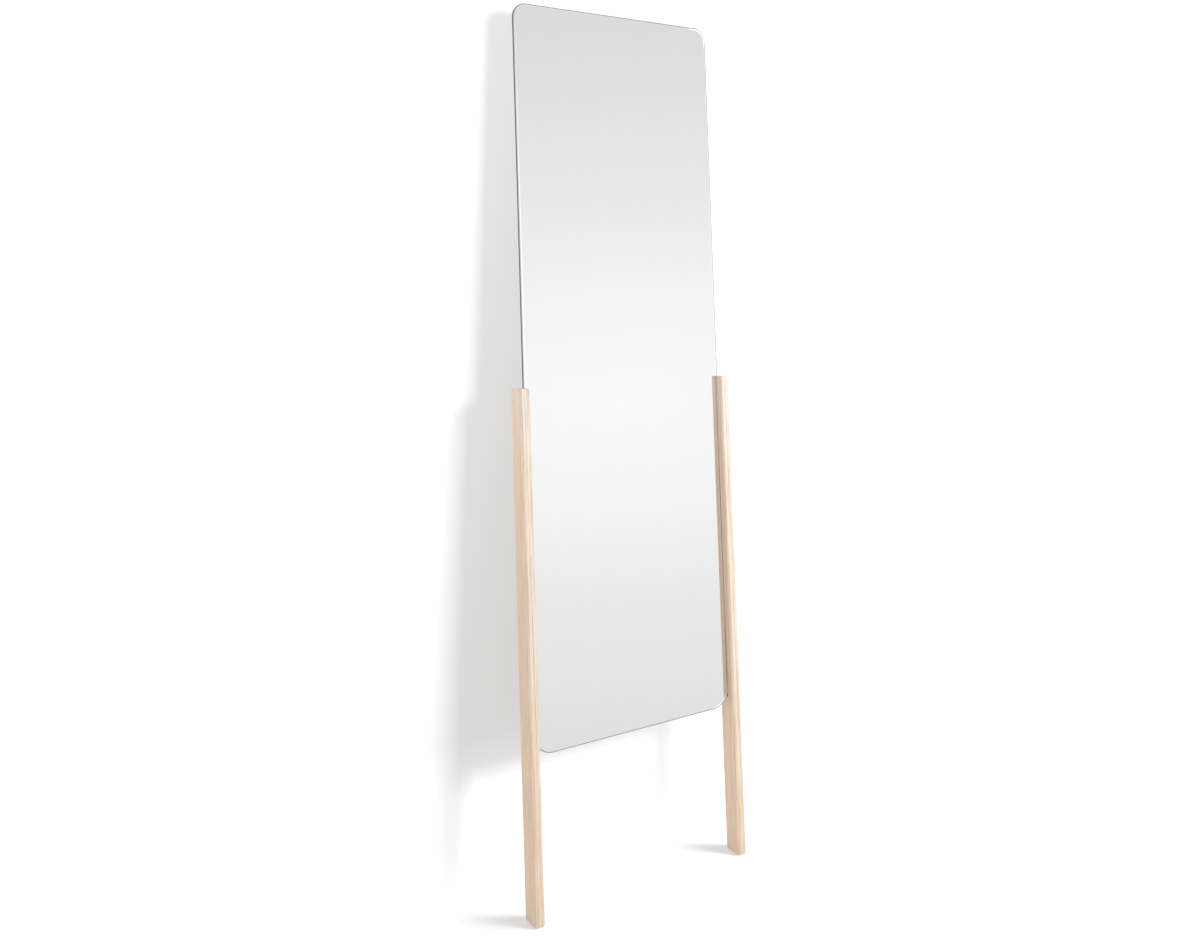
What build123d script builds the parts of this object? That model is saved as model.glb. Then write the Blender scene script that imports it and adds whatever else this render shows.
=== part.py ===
"""Leaning floor mirror: a frameless glass panel held in the grooves of two slim wooden legs.

The pieces are drawn upright in the panel's own frame, in millimetres, and leaned back at the end.
Panel frame: X across, Y from the front of the glass towards the wall, Z up along the legs, with the
front of the glass meeting the floor at Z = 0. The finished model stands on Z = 0, facing -Y.
"""

from build123d import *

import math
import os

# ---- driving dimensions (mm, degrees) ----
LEAN = 3.45

GLASS_WIDTH = 490.0
GLASS_HEIGHT = 1500.0
GLASS_THICK = 5.0
GLASS_BOTTOM = 314.5
GLASS_ARRIS = 0.8
TOP_CORNER_R = 30.0
BOTTOM_CORNER_R = 44.0

LEG_WIDTH = 22.0
LEG_FRONT = 18.0
LEG_BACK = 24.0
LEG_TOP = 1034.0
LEG_FRONT_R = 5.0
LEG_BACK_R = 2.5
LEG_TOP_R = 1.0
FOOT_R = 2.0
FOOT_SPARE = 20.0

GLASS_IN_LEG = 5.0
LINER_WALL = 0.75
LINER_RECESS = 0.5
LINER_DROP = 1.5
BLOCK_UNDER_GLASS = 4.0

PAD_THICK = 2.0
PAD_INSET = 2.0

FILM_THICK = 0.3
FILM_INSET = 9.0
TAPE_THICK = 1.0
TAPE_WIDTH = 25.0
TAPE_LENGTH = 1380.0
TAPE_PITCH = 120.0
TAPE_COUNT = 4
BOARD_THICK = 6.0
BOARD_INSET = 14.0
BOARD_EDGE = 0.8

RAIL_THICK = 11.0
RAIL_HEIGHT = 60.0
RAIL_EDGE_R = 1.5
RAIL_Z = {"upper": 960.0, "lower": 420.0}
DOWEL_R = 3.0
DOWEL_LENGTH = 28.0
DOWEL_IN_LEG = 12.0
DOWEL_SPACING = 32.0

HEAD_R = 3.4
HEAD_HEIGHT = 2.0
HEAD_CROWN_R = 1.9
HEAD_RIM = 0.8
SHANK_R = 1.6
TIP_LENGTH = 3.0
DRIVE_LENGTH = 3.4
DRIVE_SLOT = 0.75
DRIVE_DEPTH = 1.1
BOARD_BITE = 4.2
BOARD_SCREW_PITCH = 170.0

BUMPER_WIDTH = 15.0
BUMPER_LENGTH = 700.0
BUMPER_HEIGHT = 10.0
BUMPER_RIM_R = 2.0
BUMPER_END_R = 5.0
BUMPER_X = 190.0
BUMPER_FROM_TOP = 30.0
BUMPER_WELL_R = 4.2
BUMPER_FLOOR = 4.0
BUMPER_SCREWS = (-300.0, -100.0, 100.0, 300.0)

HANGER_X = 150.0
HANGER_FROM_TOP = 190.0
STRAP_THICK = 1.0
STRAP_WIDTH = 13.0
STRAP_LENGTH = 34.0
STRAP_SCREWS = (10.0, 25.0)
RING_WIRE_R = 1.5
RING_CLEARANCE = 0.05
RING_HALF_WIDTH = 10.5
RING_SIDE = 8.5
RING_CORNER_R = 2.6

# ---- derived places ----
SIDES = {"left": -1, "right": 1}
HALF_GLASS = GLASS_WIDTH / 2
GLASS_TOP = GLASS_BOTTOM + GLASS_HEIGHT
LEG_INNER = HALF_GLASS - GLASS_IN_LEG
LEG_CENTRE = LEG_INNER + LEG_WIDTH / 2
LEG_DEPTH = LEG_FRONT + LEG_BACK
LEG_MIDDLE_Y = (LEG_BACK - LEG_FRONT) / 2

# height above the glass's bottom edge at which its round corner crosses the leg's inner face
CORNER_RISE = BOTTOM_CORNER_R - math.sqrt(BOTTOM_CORNER_R**2 - (BOTTOM_CORNER_R - GLASS_IN_LEG) ** 2)
GROOVE_DEPTH = GLASS_IN_LEG + LINER_WALL
GROOVE_WIDTH = GLASS_THICK + 2 * LINER_WALL
GROOVE_END = GLASS_BOTTOM + CORNER_RISE - BLOCK_UNDER_GLASS
BLOCK_TOP = GLASS_BOTTOM + BOTTOM_CORNER_R

FILM_BACK = GLASS_THICK + FILM_THICK
TAPE_BACK = FILM_BACK + TAPE_THICK
BOARD_BACK = TAPE_BACK + BOARD_THICK
RAIL_BACK = BOARD_BACK + RAIL_THICK
RAIL_MIDDLE_Y = BOARD_BACK + RAIL_THICK / 2

PIVOT_Y = BOARD_BACK + STRAP_THICK + RING_WIRE_R + RING_CLEARANCE
PIVOT_Z = GLASS_TOP - HANGER_FROM_TOP
BUMPER_Z = GLASS_TOP - BUMPER_FROM_TOP - BUMPER_LENGTH / 2

LEANED = Rot(-LEAN, 0, 0)
FACING_WALL = Rot(-90, 0, 0)


def span_box(x, y, z):
    """A box that spans the given (low, high) pairs."""
    size = [high - low for low, high in (x, y, z)]
    middle = [(high + low) / 2 for low, high in (x, y, z)]
    return Pos(*middle) * Box(*size)


# ---- the panel: glass, film, tape and board ----
def panel_sheet(inset, front, thick):
    """A sheet with the glass's outline, smaller by inset all round, from Y = front."""
    width = GLASS_WIDTH - 2 * inset
    height = GLASS_HEIGHT - 2 * inset
    outline = Rectangle(width, height)
    outline = fillet(outline.vertices().group_by(Axis.Y)[-1], TOP_CORNER_R - inset)
    outline = fillet(outline.vertices().group_by(Axis.Y)[0], BOTTOM_CORNER_R - inset)
    facing_back = Plane((0, front, GLASS_BOTTOM + GLASS_HEIGHT / 2), x_dir=(-1, 0, 0), z_dir=(0, 1, 0))
    return extrude(facing_back * outline, thick)


def mirror_glass():
    """The silvered plate, with a small arris ground on both edges."""
    glass = panel_sheet(0, 0, GLASS_THICK)
    faces = glass.faces().sort_by(Axis.Y)
    return chamfer(faces[0].edges() + faces[-1].edges(), GLASS_ARRIS)


def mounting_tape():
    """Upright strips of foam tape between the film and the board."""
    first = -TAPE_PITCH * (TAPE_COUNT - 1) / 2
    middle_z = GLASS_BOTTOM + GLASS_HEIGHT / 2
    upright = (middle_z - TAPE_LENGTH / 2, middle_z + TAPE_LENGTH / 2)
    strips = []
    for index in range(TAPE_COUNT):
        x = first + index * TAPE_PITCH
        strips.append(span_box((x - TAPE_WIDTH / 2, x + TAPE_WIDTH / 2), (FILM_BACK, TAPE_BACK), upright))
    return strips


def back_board(screws):
    """The stiff board behind the glass, with its back edge broken and its screw holes."""
    board = panel_sheet(BOARD_INSET, TAPE_BACK, BOARD_THICK)
    board = chamfer(board.faces().sort_by(Axis.Y)[-1].edges(), BOARD_EDGE)
    return without(board, screws)


# ---- fixings ----
def without(solid, tools):
    """A solid with each tool cut out of it."""
    for tool in tools:
        solid = solid - tool
    return solid


def wood_screw(shank, countersunk, recessed):
    """A screw along Z, whose head bears on Z = 0, or ends there if countersunk."""
    if countersunk:
        head_top = 0.0
        head = [(0, 0), (HEAD_R, 0), (SHANK_R, -HEAD_HEIGHT)]
    else:
        head_top = HEAD_HEIGHT
        head = [(0, HEAD_HEIGHT), (HEAD_CROWN_R, HEAD_HEIGHT), (HEAD_R, HEAD_RIM), (HEAD_R, 0), (SHANK_R, 0)]
    profile = head + [(SHANK_R, TIP_LENGTH - shank), (0, -shank)]
    screw = revolve(make_face(Plane.XZ * Polyline(*profile, close=True)), axis=Axis.Z)
    if not recessed:
        return screw
    cross = Box(DRIVE_LENGTH, DRIVE_SLOT, 2 * DRIVE_DEPTH) + Box(DRIVE_SLOT, DRIVE_LENGTH, 2 * DRIVE_DEPTH)
    return screw - Pos(0, 0, head_top) * cross


def board_screws(recessed=True):
    """Countersunk screws through the rails into the board."""
    screw = wood_screw(RAIL_THICK + BOARD_BITE, True, recessed)
    places = [(step * BOARD_SCREW_PITCH, z) for z in RAIL_Z.values() for step in (-1, 0, 1)]
    return [Pos(x, RAIL_BACK, z) * FACING_WALL * screw for x, z in places]


def bumper_screws(recessed=True):
    """One screw in each well of the wall bumpers."""
    screw = wood_screw(BUMPER_FLOOR + BOARD_BITE, False, recessed)
    seat = BOARD_BACK + BUMPER_FLOOR
    places = [(side * BUMPER_X, BUMPER_Z + up) for side in SIDES.values() for up in BUMPER_SCREWS]
    return [Pos(x, seat, z) * FACING_WALL * screw for x, z in places]


def hanger_screws(recessed=True):
    """Two screws through each hanger strap."""
    screw = wood_screw(STRAP_THICK + BOARD_BITE, False, recessed)
    seat = BOARD_BACK + STRAP_THICK
    places = [(side * HANGER_X, PIVOT_Z + up) for side in SIDES.values() for up in STRAP_SCREWS]
    return [Pos(x, seat, z) * FACING_WALL * screw for x, z in places]


def rail_dowels():
    """Two dowels at each end of each rail."""
    dowel = Rot(0, 90, 0) * Cylinder(DOWEL_R, DOWEL_LENGTH)
    x = LEG_INNER + DOWEL_IN_LEG - DOWEL_LENGTH / 2
    half = DOWEL_SPACING / 2
    places = [(side * x, z + up) for side in SIDES.values() for z in RAIL_Z.values() for up in (-half, half)]
    return [Pos(x, RAIL_MIDDLE_Y, z) * dowel for x, z in places]


# ---- the legs and what sits in their grooves ----
def leg_section(inset=0.0):
    """The leg's section at Z = 0, on the right, rounded more at the front than at the back."""
    section = Rectangle(LEG_WIDTH - 2 * inset, LEG_DEPTH - 2 * inset)
    section = fillet(section.vertices().group_by(Axis.Y)[0], LEG_FRONT_R - inset)
    section = fillet(section.vertices().group_by(Axis.Y)[-1], LEG_BACK_R - inset)
    return Pos(LEG_CENTRE, LEG_MIDDLE_Y, 0) * section


def groove(near, far):
    """The routed groove for the right glass edge, between two X values, with a round lower end."""
    end_r = GROOVE_WIDTH / 2
    middle_y = GLASS_THICK / 2
    walls = (middle_y - end_r, middle_y + end_r)
    channel = span_box((near, far), walls, (GROOVE_END + end_r, LEG_TOP + LINER_WALL))
    end = Pos((near + far) / 2, middle_y, GROOVE_END + end_r) * Rot(0, 90, 0) * Cylinder(end_r, far - near)
    return channel + end


def leg(dowels):
    """The right leg, upright and with spare length below the floor."""
    post = extrude(Pos(0, 0, -FOOT_SPARE) * leg_section(), LEG_TOP + FOOT_SPARE)
    post = fillet(post.faces().sort_by(Axis.Z)[-1].edges(), LEG_TOP_R)
    post = post - groove(LEG_INNER - LINER_WALL, LEG_INNER + GROOVE_DEPTH)
    return without(post, dowels)


def setting_block(glass):
    """The block in the groove's lower end, shaped to the round corner of the glass that it carries."""
    fill = groove(LEG_INNER + LINER_RECESS, LEG_INNER + GROOVE_DEPTH)
    below_liner = span_box((0, GLASS_WIDTH), (-GLASS_WIDTH, GLASS_WIDTH), (0, BLOCK_TOP))
    return (fill & below_liner) - glass


def groove_liner():
    """The soft channel that wraps the glass edge in the groove."""
    across = (LEG_INNER + LINER_RECESS, LEG_INNER + GROOVE_DEPTH)
    upright = (BLOCK_TOP, LEG_TOP - LINER_DROP)
    outer = span_box(across, (-LINER_WALL, GLASS_THICK + LINER_WALL), upright)
    return outer - span_box((0, HALF_GLASS), (0, GLASS_THICK), upright)


def on_floor(leaned_post, low, high=None):
    """What lies between two heights above the floor, or all above the lower one."""
    top = high if high else 2 * GLASS_TOP
    return leaned_post & span_box((-GLASS_WIDTH, GLASS_WIDTH), (-GLASS_WIDTH, GLASS_WIDTH), (low, top))


def standing_leg(dowels):
    """The right leg leaned back, with its foot cut level and its edge rounded."""
    post = on_floor(LEANED * leg(dowels), PAD_THICK)
    return fillet(post.faces().sort_by(Axis.Z)[0].edges(), FOOT_R)


def foot_pad():
    """The thin pad under the right foot."""
    post = extrude(Pos(0, 0, -FOOT_SPARE) * leg_section(PAD_INSET), 2 * FOOT_SPARE)
    return on_floor(LEANED * post, 0, PAD_THICK)


# ---- the rails ----
def rail(z, dowels, screws):
    """A flat rail between the legs, behind the board."""
    half = RAIL_HEIGHT / 2
    bar = span_box((-LEG_INNER, LEG_INNER), (BOARD_BACK, RAIL_BACK), (z - half, z + half))
    bar = fillet(bar.edges().filter_by(Axis.X).group_by(Axis.Y)[-1], RAIL_EDGE_R)
    return without(bar, dowels + screws)


# ---- what meets the wall ----
def wall_bumper(screws):
    """The long rubber bumper on the right, with a well for each screw."""
    body = Pos(0, 0, BUMPER_HEIGHT / 2) * Box(BUMPER_WIDTH, BUMPER_LENGTH, BUMPER_HEIGHT)
    body = fillet(body.edges().filter_by(Axis.Z), BUMPER_END_R)
    body = fillet(body.faces().sort_by(Axis.Z)[-1].edges(), BUMPER_RIM_R)
    well_height = BUMPER_HEIGHT - BUMPER_FLOOR
    well = Pos(0, 0, BUMPER_FLOOR + well_height / 2) * Cylinder(BUMPER_WELL_R, well_height)
    body = body - [Pos(0, up, 0) * well for up in BUMPER_SCREWS]
    return without(Pos(BUMPER_X, BOARD_BACK, BUMPER_Z) * FACING_WALL * body, screws)


def hanger_strap(screws):
    """The right hanger's strap: a plate rolled into a barrel round the ring's bar."""
    bore_r = RING_WIRE_R + RING_CLEARANCE
    half = STRAP_WIDTH / 2
    face_y = BOARD_BACK
    end_z = PIVOT_Z + STRAP_LENGTH - half
    across = (HANGER_X - half, HANGER_X + half)
    plate = span_box(across, (face_y, face_y + STRAP_THICK), (PIVOT_Z, end_z))
    plate += Pos(HANGER_X, face_y + STRAP_THICK / 2, end_z) * FACING_WALL * Cylinder(half, STRAP_THICK)
    at_pivot = Pos(HANGER_X, PIVOT_Y, PIVOT_Z) * Rot(0, 90, 0)
    plate += at_pivot * Cylinder(bore_r + STRAP_THICK, STRAP_WIDTH)
    return without(plate - at_pivot * Cylinder(bore_r, STRAP_WIDTH), screws)


def hanger_ring():
    """A D-shaped wire ring whose straight bar is centred on the origin, hanging straight down."""
    a, c = RING_HALF_WIDTH, RING_CORNER_R
    bar = Line((c - a, 0), (a - c, 0))
    right_corner = CenterArc((a - c, -c), c, 90, -90)
    right_side = Line((a, -c), (a, -RING_SIDE))
    bow = CenterArc((0, -RING_SIDE), a, 0, -180)
    left_side = Line((-a, -RING_SIDE), (-a, -c))
    left_corner = CenterArc((c - a, -c), c, 180, -90)
    path = Plane.XZ * Wire([bar, right_corner, right_side, bow, left_side, left_corner])
    return sweep(Plane.YZ * Circle(RING_WIRE_R), path=path)


# ---- put together ----
def in_place(upright):
    """Leans a piece, or a list of separate solids, back into its place."""
    if isinstance(upright, list):
        return Compound(children=[LEANED * piece for piece in upright])
    return LEANED * upright


def both_sides(name, right_piece):
    """The left and the right copy of a piece that stands in its place on the right."""
    return {f"left_{name}": mirror(right_piece, about=Plane.YZ), f"right_{name}": right_piece}


def ring_in_place():
    """The right ring in its strap, hanging straight down while the panel leans."""
    pivot = (LEANED * Pos(HANGER_X, PIVOT_Y, PIVOT_Z)).position
    return Pos(*pivot) * hanger_ring()


def assembly():
    """Every node of the mirror, standing on Z = 0."""
    glass = mirror_glass()
    dowels = rail_dowels()
    rail_holes = board_screws(recessed=False)
    bumper_holes = bumper_screws(recessed=False)
    strap_holes = hanger_screws(recessed=False)

    nodes = {
        "mirror_glass": in_place(glass),
        "safety_film": in_place(panel_sheet(FILM_INSET, GLASS_THICK, FILM_THICK)),
        "mounting_tape": in_place(mounting_tape()),
        "back_board": in_place(back_board(rail_holes + bumper_holes + strap_holes)),
        "rail_dowels": in_place(dowels),
        "board_screws": in_place(board_screws()),
        "bumper_screws": in_place(bumper_screws()),
        "hanger_screws": in_place(hanger_screws()),
    }
    for name, z in RAIL_Z.items():
        nodes[f"{name}_rail"] = in_place(rail(z, dowels, rail_holes))
    nodes |= both_sides("leg", standing_leg(dowels))
    nodes |= both_sides("foot_pad", foot_pad())
    nodes |= both_sides("setting_block", in_place(setting_block(glass)))
    nodes |= both_sides("groove_liner", in_place(groove_liner()))
    nodes |= both_sides("wall_bumper", in_place(wall_bumper(bumper_holes)))
    nodes |= both_sides("hanger_strap", in_place(hanger_strap(strap_holes)))
    nodes |= both_sides("hanger_ring", ring_in_place())
    return nodes


def centred(nodes):
    """Moves every node so that the whole stands centred on the origin."""
    boxes = [shape.bounding_box() for shape in nodes.values()]
    middle_y = (min(box.min.Y for box in boxes) + max(box.max.Y for box in boxes)) / 2
    return {name: Pos(0, -middle_y, 0) * shape for name, shape in nodes.items()}


os.makedirs("parts", exist_ok=True)
for node_name, node_shape in centred(assembly()).items():
    export_step(node_shape, f"parts/{node_name}.step")
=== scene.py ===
"""Looks for the leaning floor mirror: glass, wood, hardware, stage, light and camera. Metres."""

import math

import bmesh
import bpy
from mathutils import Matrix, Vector


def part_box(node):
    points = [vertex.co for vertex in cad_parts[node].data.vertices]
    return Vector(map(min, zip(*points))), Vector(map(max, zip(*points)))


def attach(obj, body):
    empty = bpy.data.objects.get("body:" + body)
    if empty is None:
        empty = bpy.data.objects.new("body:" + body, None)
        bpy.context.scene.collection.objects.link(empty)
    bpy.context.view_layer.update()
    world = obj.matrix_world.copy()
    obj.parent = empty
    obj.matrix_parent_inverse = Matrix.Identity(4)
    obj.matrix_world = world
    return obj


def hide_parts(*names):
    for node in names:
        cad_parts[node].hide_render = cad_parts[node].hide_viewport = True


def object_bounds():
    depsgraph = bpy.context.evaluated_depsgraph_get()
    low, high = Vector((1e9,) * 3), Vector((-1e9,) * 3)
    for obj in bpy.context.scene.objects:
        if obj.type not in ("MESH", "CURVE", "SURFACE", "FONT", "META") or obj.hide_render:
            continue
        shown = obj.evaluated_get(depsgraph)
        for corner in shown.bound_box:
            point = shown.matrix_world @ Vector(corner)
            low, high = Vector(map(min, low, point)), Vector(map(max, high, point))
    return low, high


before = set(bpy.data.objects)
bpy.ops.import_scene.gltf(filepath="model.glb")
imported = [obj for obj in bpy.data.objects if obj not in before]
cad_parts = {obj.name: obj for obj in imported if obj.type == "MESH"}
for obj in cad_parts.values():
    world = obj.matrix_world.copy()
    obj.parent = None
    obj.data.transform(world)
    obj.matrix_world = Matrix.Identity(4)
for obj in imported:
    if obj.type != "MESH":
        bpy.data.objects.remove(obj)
CAD_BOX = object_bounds()
BODY = "mirror"

# ---- camera: it looks level, so the frame is moved with its shift ----
CAMERA_PLACE = (-1.3092, -1.9453, 1.2660)
CAMERA_YAW = math.radians(-32.57)
CAMERA_LENS = 33.47
SENSOR_WIDTH = 36.0
CAMERA_SHIFT_X = -0.0009
CAMERA_SHIFT_Y = -0.1643

# ---- the plate: its lean, thickness and corners are the CAD's, its arris is half as wide ----
LEAN = math.radians(3.45)
GLASS_THICK = 0.005
TOP_CORNER_R = 0.030
BOTTOM_CORNER_R = 0.044
GLASS_ARRIS = 0.0004
CORNER_STEPS = 24
SHARP_ANGLE = math.radians(30)
# the two bands of its rim: how far in each begins, where they meet in depth, and how deep they end
GLASS_RIM = 0.0050
RIM_SMOKE = 0.0024
RIM_DROP = 0.0012
RIM_MEET = 0.6 * RIM_DROP
# a painted highlight at the round corners on the right, made as frosted white glass: from this far out and
# this far from mid height
CORNER_HIGHLIGHT_ACROSS = (0.195, 0.215)
CORNER_HIGHLIGHT_ALONG = (0.700, 0.715)
# the plate's middle, measured along the panel
MID_HEIGHT = 1.0645

# ---- stage ----
WHITE = (1.0, 1.0, 1.0)
# how far the wall stands behind the mirror's rearmost point
WALL_GAP = 0.030
WALL_HALF_WIDTH = 6.0
WALL_HEIGHT = 5.0
FLOOR_HALF = 9.0
FLOOR_PAINT = (0.25, 0.25, 0.25)
# the floor's own glow near the mirror, and what floor and wall gain further off, where the lamps fade
FLOOR_GLOW = 0.47
STAGE_SPREAD = (0.9, 2.4)
STAGE_GAIN = 0.34
# the wall's paint and its own glow at a low and at a high point
WALL_HEIGHTS = (0.30, 1.80)
WALL_PAINT = (0.140, 0.085)
WALL_GLOW = (0.560, 0.735)
# what the wall gains towards the floor, so that the legs' shadows fade there: the heights and the gain
WALL_GAINS = (
    ((0.20, 0.32), 0.11),
    ((0.0, 0.13), 0.09),
)
# and what the floor gains near the wall's foot, by the distance from a line along it
FLOOR_BAND_Y = 0.11
FLOOR_BAND = (0.02, 0.125)
FLOOR_BAND_GAIN = 0.25

# ---- light ----
LAMP_AIM = (0.0, 0.0, 0.9)
# each lamp's name, place, aim, size and watts
PART_LAMPS = (
    ("key", (3.0, -3.2, 2.5), LAMP_AIM, 1.2, 108.0),
    ("fill", (-2.2, -0.6, 2.0), (-0.2, 0.0, 0.8), 1.2, 5.0),
    ("rear", (-1.6, 3.2, 2.4), LAMP_AIM, 2.0, 15.0),
)
WALL_LAMP = ("wall_key", (2.46, -3.65, 2.5), LAMP_AIM, 1.5, 860.0)
FLOOR_LAMP = ("floor_key", (3.38, -2.82, 2.5), LAMP_AIM, 2.3, 860.0)
# the surround by how far a direction is from the bright one, where sideways counts less than up and down
BRIGHT_DIRECTION = (0.546, -0.838, -0.0144)
BRIGHT_STRETCH = (0.45, 0.45, 1.0)
SURROUND_STOPS = ((0.0, 1.10), (0.07, 1.02), (0.16, 0.935), (0.32, 0.77), (0.55, 0.76), (0.85, 0.83))
CORE_REACH = 0.10
CORE_GAIN = 0.06
# brighter or darker patches of the surround: direction, cosines of the inner and outer edge, and gain
WORLD_PATCHES = (
    ((0.0, 0.0, 1.0), 1.0, 0.45, 0.30),
    ((0.0, 0.0, -1.0), 0.60, 0.40, 0.08),
    ((-0.84, -0.54, 0.0), 0.99, 0.90, 0.35),
    ((-0.02, -1.0, 0.0), 0.98, 0.91, 0.32),
    ((0.95, -0.30, 0.0), 0.98, 0.90, 0.28),
    ((0.78, 0.62, 0.10), 0.99, 0.93, -0.35),
)

# the span that most values of a noise lie in
NOISE_SPAN = (0.3, 0.7)


# ---- small node-graph helper ----
class Graph:
    """Builds a node tree with short calls. Most methods return an output socket."""

    def __init__(self, tree):
        self.tree = tree
        self.tree.nodes.clear()

    def add(self, kind, **settings):
        node = self.tree.nodes.new(kind)
        for key, value in settings.items():
            setattr(node, key, value)
        return node

    def feed(self, socket, value):
        """Links a socket to another one, or sets its value."""
        if isinstance(value, bpy.types.NodeSocket):
            self.tree.links.new(value, socket)
        elif isinstance(value, tuple) and len(value) == 3 and socket.type == "RGBA":
            socket.default_value = (*value, 1.0)
        else:
            socket.default_value = value

    def math(self, operation, a, b=0.0, clamp=False):
        node = self.add("ShaderNodeMath", operation=operation, use_clamp=clamp)
        self.feed(node.inputs[0], a)
        self.feed(node.inputs[1], b)
        return node.outputs[0]

    def vector_math(self, operation, a, b=(0.0, 0.0, 0.0)):
        node = self.add("ShaderNodeVectorMath", operation=operation)
        self.feed(node.inputs[0], a)
        self.feed(node.inputs[1], b)
        name = "Value" if operation in ("DOT_PRODUCT", "LENGTH") else "Vector"
        return node.outputs[name]

    def stretch(self, vector, scale):
        return self.vector_math("MULTIPLY", vector, scale)

    def split(self, vector, axis):
        """A vector's X, Y or Z."""
        parts = self.add("ShaderNodeSeparateXYZ")
        self.feed(parts.inputs[0], vector)
        return parts.outputs[axis]

    def place(self):
        """Position in the row frame."""
        return self.add("ShaderNodeTexCoord").outputs["Object"]

    def height(self):
        """Height above the floor."""
        return self.split(self.place(), "Z")

    def along_panel(self):
        """The position turned upright, so that Z runs along the legs and Y through the panel."""
        node = self.add("ShaderNodeVectorRotate", rotation_type="X_AXIS")
        self.feed(node.inputs["Vector"], self.place())
        node.inputs["Angle"].default_value = LEAN
        return node.outputs[0]

    def gain_far_off(self):
        """Rises with the distance from the upright line through the origin."""
        flat = self.vector_math("LENGTH", self.stretch(self.place(), (1.0, 1.0, 0.0)))
        return self.map_range(flat, *STAGE_SPREAD, 0.0, STAGE_GAIN, smooth=True)

    def noise(self, vector, scale=1.0, detail=3.0, roughness=0.5, distortion=0.0):
        node = self.add("ShaderNodeTexNoise")
        self.feed(node.inputs["Vector"], vector)
        node.inputs["Scale"].default_value = scale
        node.inputs["Detail"].default_value = detail
        node.inputs["Roughness"].default_value = roughness
        node.inputs["Distortion"].default_value = distortion
        return node.outputs["Fac"]

    def swing(self, noise, amount):
        """A noise moved to swing round 0, times an amount."""
        return self.math("MULTIPLY", self.math("SUBTRACT", noise, 0.5), amount)

    def map_range(self, value, low, high, to_low=0.0, to_high=1.0, smooth=False):
        kind = "SMOOTHSTEP" if smooth else "LINEAR"
        node = self.add("ShaderNodeMapRange", interpolation_type=kind)
        for name, given in zip(("Value", "From Min", "From Max", "To Min", "To Max"),
                               (value, low, high, to_low, to_high)):
            self.feed(node.inputs[name], given)
        return node.outputs[0]

    def vary(self, noise, low, high):
        """Runs from low to high over the span of a noise."""
        return self.map_range(noise, *NOISE_SPAN, low, high)

    def mix(self, factor, a, b, blend="MIX"):
        node = self.add("ShaderNodeMix", data_type="RGBA", blend_type=blend)
        self.feed(node.inputs[0], factor)
        self.feed(node.inputs[6], a)
        self.feed(node.inputs[7], b)
        return node.outputs[2]

    def ramp(self, value, stops, interpolation="LINEAR"):
        """A ramp through stops of a position with a colour or one level of grey."""
        node = self.add("ShaderNodeValToRGB")
        self.feed(node.inputs[0], value)
        node.color_ramp.interpolation = interpolation
        elements = node.color_ramp.elements
        while len(elements) < len(stops):
            elements.new(0.5)
        for element, (position, color) in zip(elements, stops):
            element.position = position
            element.color = (*color, 1.0) if isinstance(color, tuple) else (color, color, color, 1.0)
        return node.outputs["Color"]

    def bump(self, height, depth, strength):
        node = self.add("ShaderNodeBump")
        self.feed(node.inputs["Height"], height)
        node.inputs["Distance"].default_value = depth
        node.inputs["Strength"].default_value = strength
        return node.outputs[0]

    def principled(self, **inputs):
        """A Principled shader, fed by input name with _ for each space."""
        shader = self.add("ShaderNodeBsdfPrincipled")
        for name, value in inputs.items():
            self.feed(shader.inputs[name.replace("_", " ")], value)
        return shader.outputs[0]

    def show(self, shader):
        """Makes a shader the material's surface."""
        self.feed(self.add("ShaderNodeOutputMaterial").inputs["Surface"], shader)

    def surface(self, **inputs):
        self.show(self.principled(**inputs))


def new_material(name):
    material = bpy.data.materials.new(name)
    material.use_nodes = True
    return material, Graph(material.node_tree)


# ---- wood ----
RING_PITCH = 0.0034
RING_WANDER = 0.016
# the shade of a year's wood from its start to its end
YEAR_STOPS = ((0.0, 0.0), (0.55, 0.20), (0.88, 1.0), (1.0, 0.05))
# the layers of noise in the grain
WANDER = {"scale": 7.0, "detail": 2.0, "roughness": 0.45}
PORES = {"scale": 1900.0, "power": 1.35, "detail": 2.0, "roughness": 0.6}
FIBRES = {"scale": 700.0, "power": 1.2, "detail": 3.0, "roughness": 0.65}
STREAKS = {"scale": 230.0, "power": 1.1, "detail": 3.0, "roughness": 0.7}
CLOUDS = {"scale": 22.0, "detail": 3.0, "roughness": 0.55}
BLUSH = {"scale": 120.0, "detail": 2.0, "roughness": 0.5}
# where the noise turns into pores, and how full of them early and late wood are
PORE_SPAN = (0.60, 0.74)
PORE_FILL = 1.15
# how much each layer darkens the wood
LATE_SHADE = 0.55
STREAK_SHADE = 1.90
FIBRE_SHADE = 1.10
PORE_SHADE = 0.65
# a rosy blush and warmer, darker clouds over it: where in their noise, how strong, and the tint
BLUSH_SPAN = (0.40, 0.62)
BLUSH_SHARE = 0.5
BLUSH_TINT = (0.99, 0.935, 0.90)
CLOUD_SPAN = (0.34, 0.68)
CLOUD_SHARE = 0.22
CLOUD_TINT = (1.02, 0.93, 0.86)
WOOD_ROUGHNESS = 0.5
ROUGHNESS_SWING = 0.10
# how far the fibres stand up, beside the depth of the pores
FIBRE_RELIEF = 0.25
# painted light on the wood: its front faces are painted paler, a painted sheen, and the legs are painted
# paler towards their top
FRONT_FACING = (0.55, 0.90)
PAINTED_FRONT_SHEEN = (0.92, 1.03, 1.11)
PAINTED_TOP_LIGHT = (1.05, 1.10, 1.17)
PAINTED_TOP_HEIGHTS = (0.75, 1.02)
# and the painted sheen fades on the front near the floor, which leaves the front darker there
SHEEN_FADE_HEIGHTS = (0.12, 0.50)
SHEEN_LEFT_AT_FLOOR = 0.35


def grain(g, at, along, scale, detail, roughness, power=1.0):
    """Noise drawn out along the fibres, and more so with a higher power."""
    return g.noise(g.stretch(at, tuple(scale * part**power for part in along)), 1.0, detail, roughness)


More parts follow.
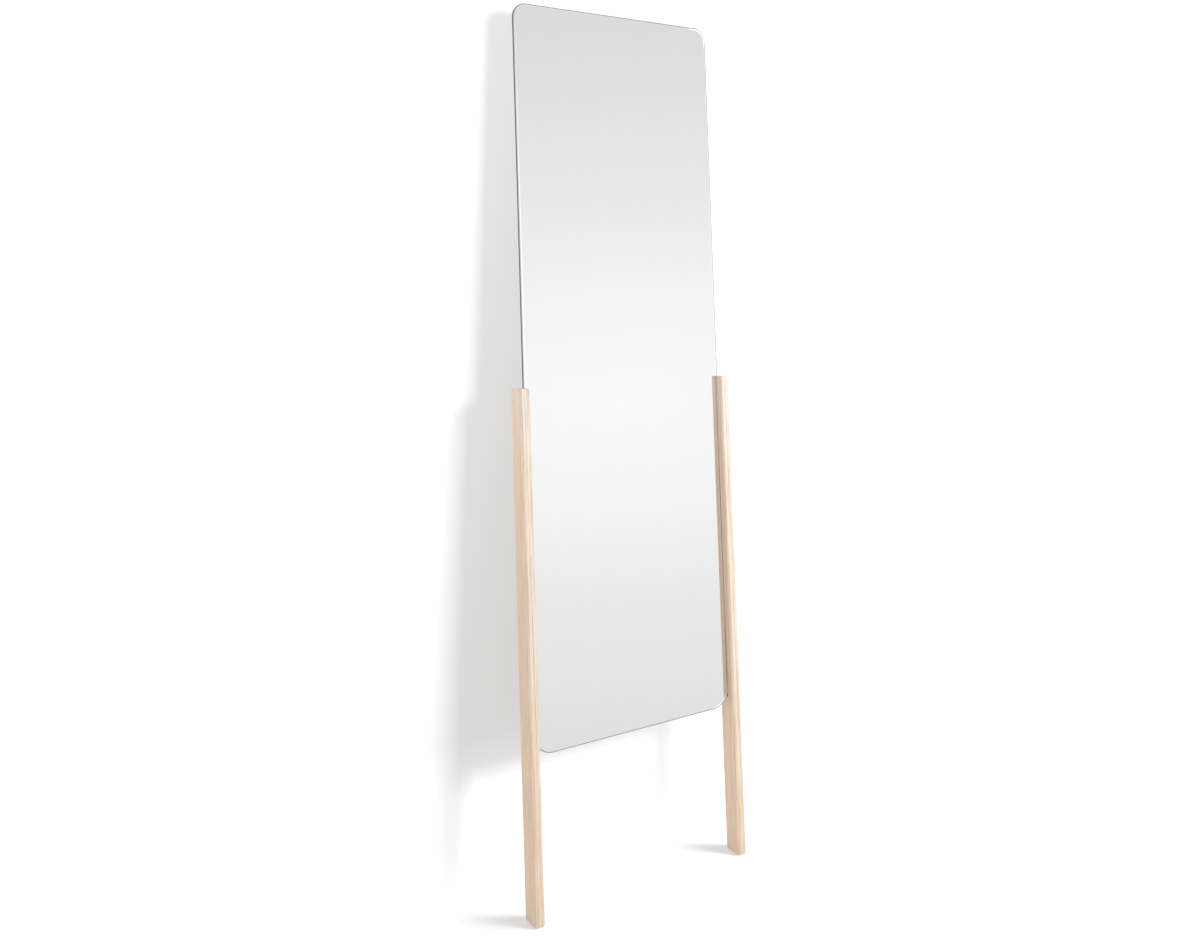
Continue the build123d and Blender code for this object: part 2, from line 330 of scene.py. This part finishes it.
def year_rings(g, at, along):
    """The rings of pale early and darker late wood round the pith."""
    flat = g.stretch(at, tuple(1.0 if part == 1.0 else 0.0 for part in along))
    wander = g.swing(grain(g, at, along, **WANDER), RING_WANDER)
    radius = g.math("ADD", g.vector_math("LENGTH", flat), wander)
    ring = g.math("FRACT", g.math("DIVIDE", radius, RING_PITCH))
    return g.ramp(ring, YEAR_STOPS, "EASE")


def painted_light_on_wood(g, color):
    """The wood's colour with painted light: a paler front, a painted sheen that fades near the floor, and a
    paler top.
    """
    normal = g.add("ShaderNodeTexCoord").outputs["Normal"]
    facing = g.vector_math("DOT_PRODUCT", normal, (0.0, -1.0, 0.0))
    sheen_fade = g.map_range(g.height(), *SHEEN_FADE_HEIGHTS, SHEEN_LEFT_AT_FLOOR, 1.0, smooth=True)
    front = g.math("MULTIPLY", g.map_range(facing, *FRONT_FACING), sheen_fade)
    color = g.mix(front, color, PAINTED_FRONT_SHEEN, "MULTIPLY")
    high = g.map_range(g.height(), *PAINTED_TOP_HEIGHTS, smooth=True)
    return g.mix(high, color, PAINTED_TOP_LIGHT, "MULTIPLY")


def wood(name, pale, dark, along, pith):
    """Plain-sawn pale wood. along shrinks the coordinate along the fibres, pith is the rings' centre."""
    material, g = new_material(name)
    at = g.vector_math("SUBTRACT", g.along_panel(), pith)
    late = year_rings(g, at, along)
    pores = g.map_range(grain(g, at, along, **PORES), *PORE_SPAN)
    pores = g.math("MULTIPLY", pores, g.math("SUBTRACT", PORE_FILL, late), clamp=True)
    fibre = grain(g, at, along, **FIBRES)
    streak = grain(g, at, along, **STREAKS)
    shade = g.math("MULTIPLY", late, LATE_SHADE)
    shade = g.math("ADD", shade, g.swing(streak, STREAK_SHADE))
    shade = g.math("ADD", shade, g.swing(fibre, FIBRE_SHADE))
    shade = g.math("ADD", shade, g.math("MULTIPLY", pores, PORE_SHADE), clamp=True)
    color = g.mix(shade, pale, dark)
    blush = g.map_range(grain(g, at, along, **BLUSH), *BLUSH_SPAN)
    color = g.mix(g.math("MULTIPLY", blush, BLUSH_SHARE), color, BLUSH_TINT, "MULTIPLY")
    cloud = g.map_range(grain(g, at, along, **CLOUDS), *CLOUD_SPAN, smooth=True)
    warm = tuple(part * tint for part, tint in zip(dark, CLOUD_TINT))
    # painted light: a painted sheen on the front faces and paler tops of the legs
    color = painted_light_on_wood(g, g.mix(g.math("MULTIPLY", cloud, CLOUD_SHARE), color, warm))
    relief = g.math("SUBTRACT", g.math("MULTIPLY", fibre, FIBRE_RELIEF), pores)
    unlike = g.math("MULTIPLY", g.math("SUBTRACT", fibre, late), ROUGHNESS_SWING)
    rough = g.math("ADD", WOOD_ROUGHNESS, unlike)
    g.surface(Base_Color=color, Roughness=rough, Specular_IOR_Level=0.42,
              Normal=g.bump(relief, depth=0.00012, strength=0.55))
    return material


ALONG_Z = (1.0, 1.0, 0.045)
ALONG_X = (0.045, 1.0, 1.0)
ASH_PALE = (0.725, 0.573, 0.443)
ASH_DARK = (0.445, 0.290, 0.188)
BEECH_PALE = (0.72, 0.52, 0.34)
BEECH_DARK = (0.55, 0.37, 0.22)
leg_wood = {
    "left_leg": wood("whitened_ash_left", ASH_PALE, ASH_DARK, ALONG_Z, (-0.31, 0.05393, -0.13059)),
    "right_leg": wood("whitened_ash_right", ASH_PALE, ASH_DARK, ALONG_Z, (0.19, 0.07091, -0.36227)),
}
rail_wood = wood("whitened_ash_rail", ASH_PALE, ASH_DARK, ALONG_X, (0.0, 0.10660, 0.40095))
dowel_wood = wood("beech_dowel", BEECH_PALE, BEECH_DARK, ALONG_X, (0.0, 0.02216, 0.32839))


# ---- mirror ----
SILVER_TINTS = ((0.902, 0.906, 0.904), (0.892, 0.897, 0.895))
WIPE_SCALE = (26.0, 26.0, 4.0)
HAZE_SPAN = (0.22, 0.55)
HAZE_ROUGHNESS = 0.035
RIM_TINTS = ((0.860, 0.878, 0.873), (0.900, 0.912, 0.908))
# the painted highlight at the round right-hand corners: its white tint and frosted roughness
CORNER_HIGHLIGHT_TINT = (0.90, 0.90, 0.90)
CORNER_HIGHLIGHT_ROUGHNESS = 0.5
SMOKE_TINTS = ((0.40, 0.415, 0.41), (0.50, 0.515, 0.51))
ARRIS_TINTS = ((0.060, 0.072, 0.070), (0.115, 0.130, 0.126))
EDGE_TINTS = ((0.030, 0.038, 0.036), (0.065, 0.080, 0.076))
EDGE_STREAK_SCALE = (160.0, 2400.0, 160.0)
BACK_TINTS = ((0.235, 0.250, 0.255), (0.285, 0.300, 0.300))


def silvered_front():
    material, g = new_material("silvered_glass")
    haze = g.noise(g.place(), scale=3.0, detail=4.0, roughness=0.6)
    wipe = g.noise(g.stretch(g.place(), WIPE_SCALE), roughness=0.6, distortion=0.8)
    smear = g.map_range(g.math("MULTIPLY", haze, wipe), *HAZE_SPAN)
    tint = g.mix(g.vary(wipe, 0.0, 1.0), *SILVER_TINTS)
    g.surface(Base_Color=tint, Metallic=1.0, Roughness=g.math("MULTIPLY", smear, HAZE_ROUGHNESS))
    return material


def bright_rim():
    """The band along the outline where the edge shows through the glass: polished, with a painted highlight
    at the two right-hand corners, made as a frosted patch.
    """
    material, g = new_material("bright_rim")
    ripple = g.noise(g.place(), scale=90.0, detail=2.0)
    at = g.along_panel()
    from_middle = g.math("ABSOLUTE", g.math("SUBTRACT", g.split(at, "Z"), MID_HEIGHT))
    # painted highlight: the rim is made frosted white at the two round right-hand corners
    corner_highlight = g.math("MULTIPLY", g.map_range(g.split(at, "X"), *CORNER_HIGHLIGHT_ACROSS),
                   g.map_range(from_middle, *CORNER_HIGHLIGHT_ALONG))
    color = g.mix(corner_highlight, g.mix(ripple, *RIM_TINTS), CORNER_HIGHLIGHT_TINT)
    rough = g.math("ADD", g.vary(ripple, 0.02, 0.06), g.math("MULTIPLY", corner_highlight, CORNER_HIGHLIGHT_ROUGHNESS))
    g.surface(Base_Color=color, Metallic=g.math("SUBTRACT", 1.0, corner_highlight), Roughness=rough)
    return material


def smoky_rim():
    """The darker outermost line, where the back of the edge shows through the glass."""
    material, g = new_material("smoky_rim")
    ripple = g.noise(g.place(), scale=140.0, detail=2.0)
    g.surface(Base_Color=g.mix(ripple, *SMOKE_TINTS), Metallic=1.0, Roughness=g.vary(ripple, 0.05, 0.12))
    return material


def ground_arris():
    material, g = new_material("ground_arris")
    fleck = g.noise(g.place(), scale=2600.0, detail=2.0, roughness=0.6)
    g.surface(Base_Color=g.mix(fleck, *ARRIS_TINTS), Roughness=g.vary(fleck, 0.30, 0.42))
    return material


def polished_edge():
    material, g = new_material("polished_edge")
    streak = g.noise(g.stretch(g.along_panel(), EDGE_STREAK_SCALE), roughness=0.6)
    g.surface(Base_Color=g.mix(streak, *EDGE_TINTS), Roughness=g.vary(streak, 0.10, 0.2), IOR=1.40)
    return material


def back_paint():
    material, g = new_material("mirror_back_paint")
    peel = g.noise(g.place(), scale=900.0, detail=2.0)
    cloud = g.noise(g.place(), scale=14.0)
    g.surface(Base_Color=g.mix(cloud, *BACK_TINTS), Roughness=g.vary(peel, 0.38, 0.5),
              Normal=g.bump(peel, depth=0.00005, strength=0.4))
    return material


PLATE_LOOKS = (silvered_front, bright_rim, smoky_rim, ground_arris, polished_edge, back_paint)
FRONT, RIM, SMOKE, ARRIS, EDGE, BACK = range(len(PLATE_LOOKS))
# the plate's outline from front to back: its depth, its inset, and the look of the side that follows it
PLATE_LEVELS = (
    (0.0, GLASS_RIM, RIM),
    (RIM_MEET, RIM_SMOKE, SMOKE),
    (RIM_DROP, GLASS_ARRIS, ARRIS),
    (RIM_DROP + GLASS_ARRIS, 0.0, EDGE),
    (GLASS_THICK - GLASS_ARRIS, 0.0, EDGE),
    (GLASS_THICK, GLASS_ARRIS, BACK),
)


def corner(centre, radius, start):
    """A quarter turn of the outline, in the panel's X and Z, from an angle in quarter turns."""
    points = []
    for step in range(CORNER_STEPS + 1):
        turn = (start + step / CORNER_STEPS) * math.pi / 2
        points.append((centre[0] + radius * math.cos(turn), centre[1] + radius * math.sin(turn)))
    return points


def plate_outline(half_width, height, inset):
    """The plate's outline, anticlockwise as seen from the front, smaller by inset."""
    top, bottom = TOP_CORNER_R, BOTTOM_CORNER_R
    return (corner((half_width - top, height - top), top - inset, 0)
            + corner((top - half_width, height - top), top - inset, 1)
            + corner((bottom - half_width, bottom), bottom - inset, 2)
            + corner((half_width - bottom, bottom), bottom - inset, 3))


def plate_rings(mesh):
    """One loop of points for each level, at the CAD plate's place."""
    low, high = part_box("mirror_glass")
    sin, cos = math.sin(LEAN), math.cos(LEAN)
    # the plate's own foot and height follow from its box and lean
    bottom_z = low.z + GLASS_THICK * sin
    height = (high.z - low.z - GLASS_THICK * sin) / cos
    rings = []
    for depth, inset, _ in PLATE_LEVELS:
        ring = []
        for x, z in plate_outline(high.x, height, inset):
            y = low.y + depth * cos + z * sin
            ring.append(mesh.verts.new((x, y, bottom_z - depth * sin + z * cos)))
        rings.append(ring)
    return rings


def mirror_plate():
    """The silvered plate with its rim and ground arrises, in place of the CAD solid."""
    mesh = bmesh.new()
    rings = plate_rings(mesh)
    mesh.faces.new(rings[0]).material_index = FRONT
    for near, far, (_, _, look) in zip(rings, rings[1:], PLATE_LEVELS):
        for step in range(len(near)):
            after = (step + 1) % len(near)
            side = mesh.faces.new((near[step], far[step], far[after], near[after]))
            side.material_index = look
            side.smooth = True
    mesh.faces.new(list(reversed(rings[-1]))).material_index = BACK
    bmesh.ops.recalc_face_normals(mesh, faces=mesh.faces)
    data = bpy.data.meshes.new("mirror_plate")
    mesh.to_mesh(data)
    mesh.free()
    for look in PLATE_LOOKS:
        data.materials.append(look())
    plate = bpy.data.objects.new("mirror_plate", data)
    bpy.context.scene.collection.objects.link(plate)
    plate.modifiers.new("edges", "EDGE_SPLIT").split_angle = SHARP_ANGLE
    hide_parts("mirror_glass")
    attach(plate, BODY)


mirror_plate()


# ---- hidden sheets, rubber and metal ----
BOARD_STOPS = (
    (0.28, (0.27, 0.215, 0.170)),
    (0.52, (0.40, 0.330, 0.265)),
    (0.74, (0.53, 0.45, 0.37)),
)
CHIP_SCALE = (260.0, 260.0, 90.0)
CHIP_SPAN = (0.60, 0.70)
CHIP_TINT = (0.22, 0.165, 0.125)
BOARD_CLOUD_TINT = (0.33, 0.27, 0.21)
BOARD_CLOUD_SHARE = 0.22
WEAVE_PITCH = 0.0022
WEAVE_SPAN = (0.2, 1.0)
FILM_TINTS = ((0.36, 0.37, 0.38), (0.50, 0.51, 0.52))
FOAM_TINTS = ((0.66, 0.66, 0.64), (0.86, 0.86, 0.84))
DUST_SPAN = (0.4, 0.75)
DUST_GAIN = 1.18
DUST_LIFT = 0.01
TARNISH_SPAN = (0.4, 0.7)
TARNISH_SHADE = 0.86
ZINC_TINT = (0.66, 0.66, 0.63)
ZINC_SCALE = (900.0, 900.0, 900.0)
NICKEL_TINT = (0.72, 0.70, 0.66)
NICKEL_SCALE = (500.0, 2600.0, 500.0)
LINER_TINT = (0.46, 0.29, 0.17)
BLOCK_TINT = (0.25, 0.17, 0.115)
PAD_TINT = (0.66, 0.56, 0.45)
BUMPER_TINT = (0.62, 0.62, 0.60)


def fibreboard():
    material, g = new_material("fibreboard")
    fleck = g.noise(g.place(), scale=620.0, detail=4.0, roughness=0.75)
    chip = g.map_range(g.noise(g.stretch(g.place(), CHIP_SCALE), roughness=0.7), *CHIP_SPAN)
    cloud = g.noise(g.place(), scale=6.0)
    color = g.mix(chip, g.ramp(fleck, BOARD_STOPS), CHIP_TINT)
    color = g.mix(g.math("MULTIPLY", cloud, BOARD_CLOUD_SHARE), color, BOARD_CLOUD_TINT)
    g.surface(Base_Color=color, Roughness=g.vary(fleck, 0.62, 0.78),
              Normal=g.bump(fleck, depth=0.0001, strength=0.5))
    return material


def woven_film():
    material, g = new_material("woven_film")
    at = g.along_panel()
    warp, weft = (g.math("SINE", g.math("MULTIPLY", g.split(at, axis), 2 * math.pi / WEAVE_PITCH))
                  for axis in ("X", "Z"))
    weave = g.math("MAXIMUM", warp, weft)
    g.surface(Base_Color=g.mix(g.map_range(weave, *WEAVE_SPAN), *FILM_TINTS), Roughness=0.42,
              Normal=g.bump(weave, depth=0.00006, strength=0.6))
    return material


def foam():
    material, g = new_material("foam_tape")
    cell = g.noise(g.place(), scale=2400.0, detail=2.0, roughness=0.6)
    g.surface(Base_Color=g.mix(cell, *FOAM_TINTS), Roughness=0.85,
              Normal=g.bump(cell, depth=0.00015, strength=0.6))
    return material


def rubber(name, color):
    """Matt rubber with a little pale dust on it."""
    material, g = new_material(name)
    speck = g.noise(g.place(), scale=1400.0, roughness=0.6)
    dust = g.map_range(g.noise(g.place(), scale=60.0, roughness=0.6), *DUST_SPAN)
    lighter = tuple(min(1.0, part * DUST_GAIN + DUST_LIFT) for part in color)
    g.surface(Base_Color=g.mix(dust, color, lighter), Roughness=g.vary(speck, 0.55, 0.72),
              Specular_IOR_Level=0.35, Normal=g.bump(speck, depth=0.00006, strength=0.5))
    return material


def plated_steel(name, color, brushed):
    """Bright plated metal. brushed is the scale of its fine lines along each axis."""
    material, g = new_material(name)
    line = g.noise(g.stretch(g.place(), brushed), roughness=0.6)
    tarnish = g.map_range(g.noise(g.place(), scale=240.0, roughness=0.6), *TARNISH_SPAN)
    duller = tuple(part * TARNISH_SHADE for part in color)
    g.surface(Base_Color=g.mix(tarnish, color, duller), Metallic=1.0, Roughness=g.vary(line, 0.18, 0.34),
              Normal=g.bump(line, depth=0.00002, strength=0.4))
    return material


def node_looks():
    """The material of each CAD node that stays visible."""
    zinc = plated_steel("zinc_plate", ZINC_TINT, ZINC_SCALE)
    nickel = plated_steel("nickel_plate", NICKEL_TINT, NICKEL_SCALE)
    looks = {
        "safety_film": woven_film(),
        "mounting_tape": foam(),
        "back_board": fibreboard(),
        "rail_dowels": dowel_wood,
        "upper_rail": rail_wood,
        "lower_rail": rail_wood,
        "board_screws": zinc,
        "bumper_screws": zinc,
        "hanger_screws": zinc,
    }
    paired = {
        "groove_liner": rubber("liner_rubber", LINER_TINT),
        "setting_block": rubber("block_rubber", BLOCK_TINT),
        "foot_pad": rubber("pad_rubber", PAD_TINT),
        "wall_bumper": rubber("bumper_rubber", BUMPER_TINT),
        "hanger_strap": nickel,
        "hanger_ring": nickel,
    }
    for side in ("left", "right"):
        for piece, material in paired.items():
            looks[f"{side}_{piece}"] = material
    return looks | leg_wood


for node, material in node_looks().items():
    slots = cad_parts[node].data.materials
    slots.clear()
    slots.append(material)


# ---- stage ----
def sheet(name, corners):
    data = bpy.data.meshes.new(name)
    data.from_pydata(corners, [], [tuple(range(len(corners)))])
    stage = bpy.data.objects.new(name, data)
    bpy.context.scene.collection.objects.link(stage)
    return stage


def floor():
    half = FLOOR_HALF
    stage = sheet("floor", [(-half, -half, 0), (half, -half, 0), (half, half, 0), (-half, half, 0)])
    material, g = new_material("pale_floor")
    from_wall = g.math("ABSOLUTE", g.math("SUBTRACT", g.split(g.place(), "Y"), FLOOR_BAND_Y))
    glow = g.map_range(from_wall, *FLOOR_BAND, FLOOR_GLOW + FLOOR_BAND_GAIN, FLOOR_GLOW)
    g.surface(Base_Color=FLOOR_PAINT, Roughness=0.8, Specular_IOR_Level=0.0,
              Emission_Color=WHITE, Emission_Strength=g.math("ADD", g.gain_far_off(), glow))
    stage.data.materials.append(material)
    stage.visible_glossy = False
    return stage


def wall():
    """The wall that the mirror leans on. It is there for the eye alone, and only from its front."""
    y = CAD_BOX[1][1] + WALL_GAP
    half = WALL_HALF_WIDTH
    stage = sheet("wall", [(-half, y, 0), (half, y, 0), (half, y, WALL_HEIGHT), (-half, y, WALL_HEIGHT)])
    material, g = new_material("pale_wall")
    glow = g.map_range(g.height(), *WALL_HEIGHTS, *WALL_GLOW)
    for heights, gain in WALL_GAINS:
        glow = g.math("ADD", glow, g.map_range(g.height(), *heights, gain, 0.0))
    paint = g.principled(Base_Color=g.map_range(g.height(), *WALL_HEIGHTS, *WALL_PAINT), Roughness=0.9,
                         Specular_IOR_Level=0.0, Emission_Color=WHITE,
                         Emission_Strength=g.math("ADD", g.gain_far_off(), glow))
    side = g.add("ShaderNodeMixShader")
    g.feed(side.inputs[0], g.add("ShaderNodeNewGeometry").outputs["Backfacing"])
    g.feed(side.inputs[1], paint)
    g.feed(side.inputs[2], g.add("ShaderNodeBsdfTransparent").outputs[0])
    g.show(side.outputs[0])
    stage.data.materials.append(material)
    stage.visible_diffuse = False
    stage.visible_glossy = False
    stage.visible_transmission = False
    stage.visible_shadow = False
    return stage


# ---- light and camera ----
def studio_world():
    """A soft pale surround, brightest in front of the mirror. The backdrop itself is plain white."""
    world = bpy.data.worlds.new("studio")
    world.use_nodes = True
    bpy.context.scene.world = world
    g = Graph(world.node_tree)
    direction = g.add("ShaderNodeTexCoord").outputs["Generated"]
    bright = tuple(Vector(BRIGHT_DIRECTION).normalized())
    off = g.vector_math("LENGTH", g.stretch(g.vector_math("SUBTRACT", direction, bright), BRIGHT_STRETCH))
    core = g.map_range(off, 0.0, CORE_REACH, CORE_GAIN, 0.0, smooth=True)
    total = g.math("ADD", g.ramp(off, SURROUND_STOPS, "B_SPLINE"), core)
    for place, inner, outer, gain in WORLD_PATCHES:
        near = g.vector_math("DOT_PRODUCT", direction, tuple(Vector(place).normalized()))
        total = g.math("ADD", total, g.map_range(near, outer, inner, 0.0, gain, smooth=True))
    seen_straight = g.add("ShaderNodeLightPath").outputs["Is Camera Ray"]
    back = g.add("ShaderNodeBackground")
    g.feed(back.inputs["Color"], g.mix(seen_straight, total, WHITE))
    g.feed(g.add("ShaderNodeOutputWorld").inputs["Surface"], back.outputs[0])


def softbox(name, place, aim, size, watts):
    """A square area light that the mirror doesn't show."""
    light = bpy.data.lights.new(name, "AREA")
    light.shape = "SQUARE"
    light.size = size
    light.energy = watts
    lamp = bpy.data.objects.new(name, light)
    lamp.location = place
    lamp.rotation_euler = (Vector(aim) - Vector(place)).to_track_quat("-Z", "Y").to_euler()
    lamp.visible_glossy = False
    bpy.context.scene.collection.objects.link(lamp)
    return lamp


def light_only(lamp, lit):
    """Keeps a lamp's light to one object. The others can still shade that object from it."""
    group = bpy.data.collections.new(f"lit_by_{lamp.name}")
    group.objects.link(lit)
    lamp.light_linking.receiver_collection = group


def camera():
    data = bpy.data.cameras.new("camera")
    data.sensor_width = SENSOR_WIDTH
    data.lens = CAMERA_LENS
    data.shift_x = CAMERA_SHIFT_X
    data.shift_y = CAMERA_SHIFT_Y
    eye = bpy.data.objects.new("camera", data)
    eye.location = CAMERA_PLACE
    eye.rotation_euler = (math.pi / 2, 0.0, CAMERA_YAW)
    bpy.context.scene.collection.objects.link(eye)
    bpy.context.scene.camera = eye


camera()
studio_world()
for lamp in PART_LAMPS:
    softbox(*lamp)
light_only(softbox(*WALL_LAMP), wall())
light_only(softbox(*FLOOR_LAMP), floor())
bpy.context.scene.view_settings.view_transform = "Standard"
